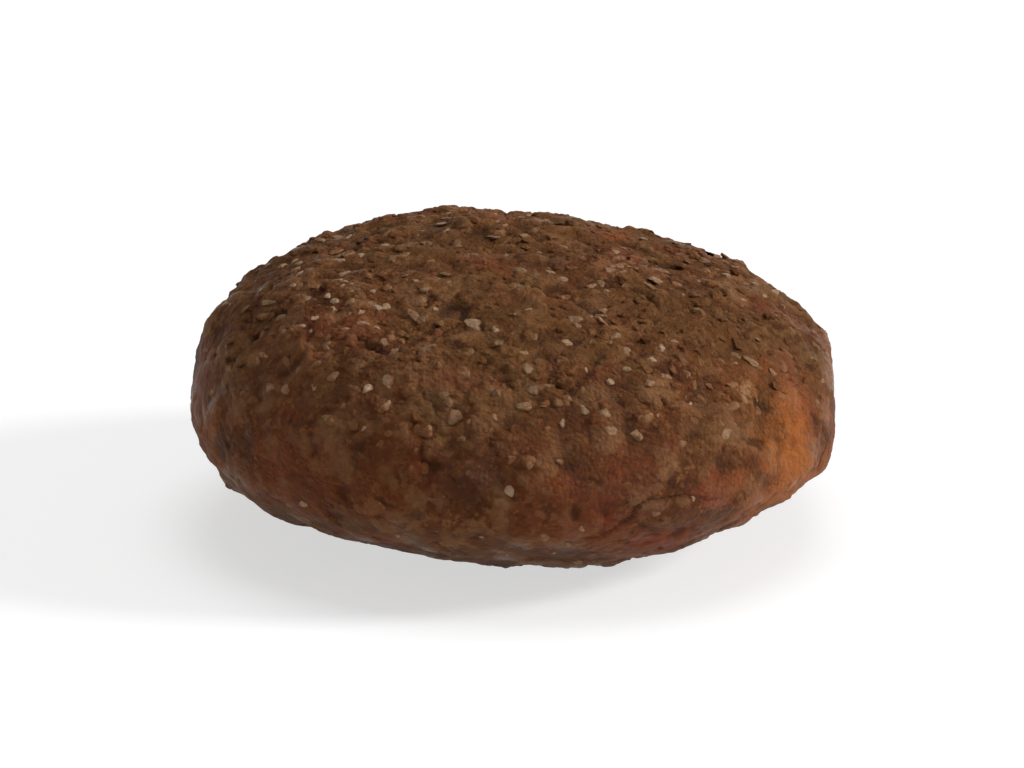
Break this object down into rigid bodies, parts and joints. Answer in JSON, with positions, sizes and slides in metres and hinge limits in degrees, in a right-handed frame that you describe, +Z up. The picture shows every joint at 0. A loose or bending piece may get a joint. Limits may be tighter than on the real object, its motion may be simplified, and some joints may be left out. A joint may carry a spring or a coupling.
{
  "type": "dry pet food kibble",
  "caption": "Small puffed kibble of dry pet food: a thick lens with domed faces, a rounded rim, a blunt side and a flat spot that it lies on.",
  "frame": {"origin": "under the middle of the kibble's outline, in the plane of the flat spot that it lies on", "axes": "+Z up through the crown, the shortest way through; +X along the longest way across, towards the blunt side of the rim; the picture looks along +Y"},
  "size_m": [0.0126, 0.012, 0.0055],
  "materials": {
    "baked_meal": "matte"
  },
  "bodies": {
    "root": {"kibble": "baked_meal"}
  },
  "joints": []
}
